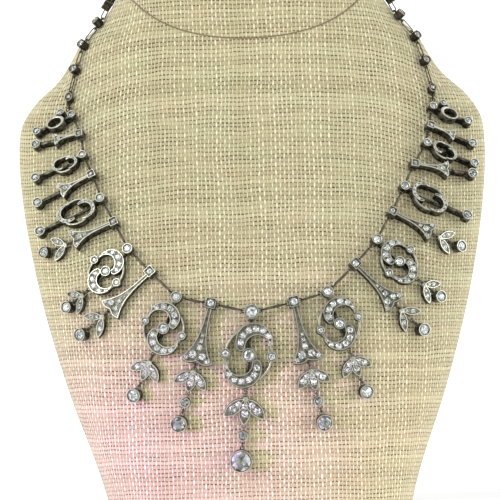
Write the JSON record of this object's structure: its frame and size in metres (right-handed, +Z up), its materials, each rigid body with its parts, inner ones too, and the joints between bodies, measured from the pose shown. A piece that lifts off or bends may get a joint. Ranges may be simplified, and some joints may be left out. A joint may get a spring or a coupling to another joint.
{
  "type": "diamond fringe necklace on a neck bust",
  "caption": "Antique fringe necklace of old-cut diamonds in silver scroll, fishtail and leaf-spray pendants, laid round a burlap-covered neck bust.",
  "frame": {"origin": "on the flat base of the neck bust, below its neck", "axes": "+Z up, -Y the way that the bust and the pendants face, +X to the viewer's right"},
  "size_m": [0.1686, 0.1339, 0.235],
  "materials": {
    "burlap": "coarse plain weave",
    "silver": "tarnished silver with bright rims",
    "dark_silver": "darkly oxidised silver",
    "diamond": "cut and polished"
  },
  "bodies": {
    "root": {"neck_bust": "burlap", "pendant_l10": "silver", "pendant_l9": "silver", "pendant_l8": "silver", "pendant_l7": "silver", "pendant_l6": "silver", "pendant_l5": "silver", "pendant_l4": "silver", "pendant_l3": "silver", "pendant_l2": "silver", "pendant_l1": "silver", "pendant_c": "silver", "pendant_r1": "silver", "pendant_r2": "silver", "pendant_r3": "silver", "pendant_r4": "silver", "pendant_r5": "silver", "pendant_r6": "silver", "pendant_r7": "silver", "pendant_r8": "silver", "pendant_r9": "silver", "pendant_r10": "silver", "leaf_spray_l5": "silver", "leaf_spray_l4": "silver", "leaf_spray_l3": "silver", "leaf_spray_l2": "silver", "leaf_spray_l1": "silver", "leaf_spray_c": "silver", "leaf_spray_r1": "silver", "leaf_spray_r2": "silver", "leaf_spray_r3": "silver", "leaf_spray_r4": "silver", "leaf_spray_r5": "silver", "link_collet_l1": "silver", "link_collet_c": "silver", "link_collet_r1": "silver", "drop_l5": "silver", "drop_l4": "silver", "drop_l3": "silver", "drop_l2": "silver", "drop_l1": "silver", "drop_c": "silver", "drop_r1": "silver", "drop_r2": "silver", "drop_r3": "silver", "drop_r4": "silver", "drop_r5": "silver", "neckline_bars": "dark_silver", "jump_rings": "dark_silver", "chain_left": "dark_silver", "chain_right": "dark_silver", "clasp": "dark_silver", "head_stones": "diamond", "motif_stones": "diamond", "end_stones": "diamond", "chain_stones": "diamond"}
  },
  "joints": []
}
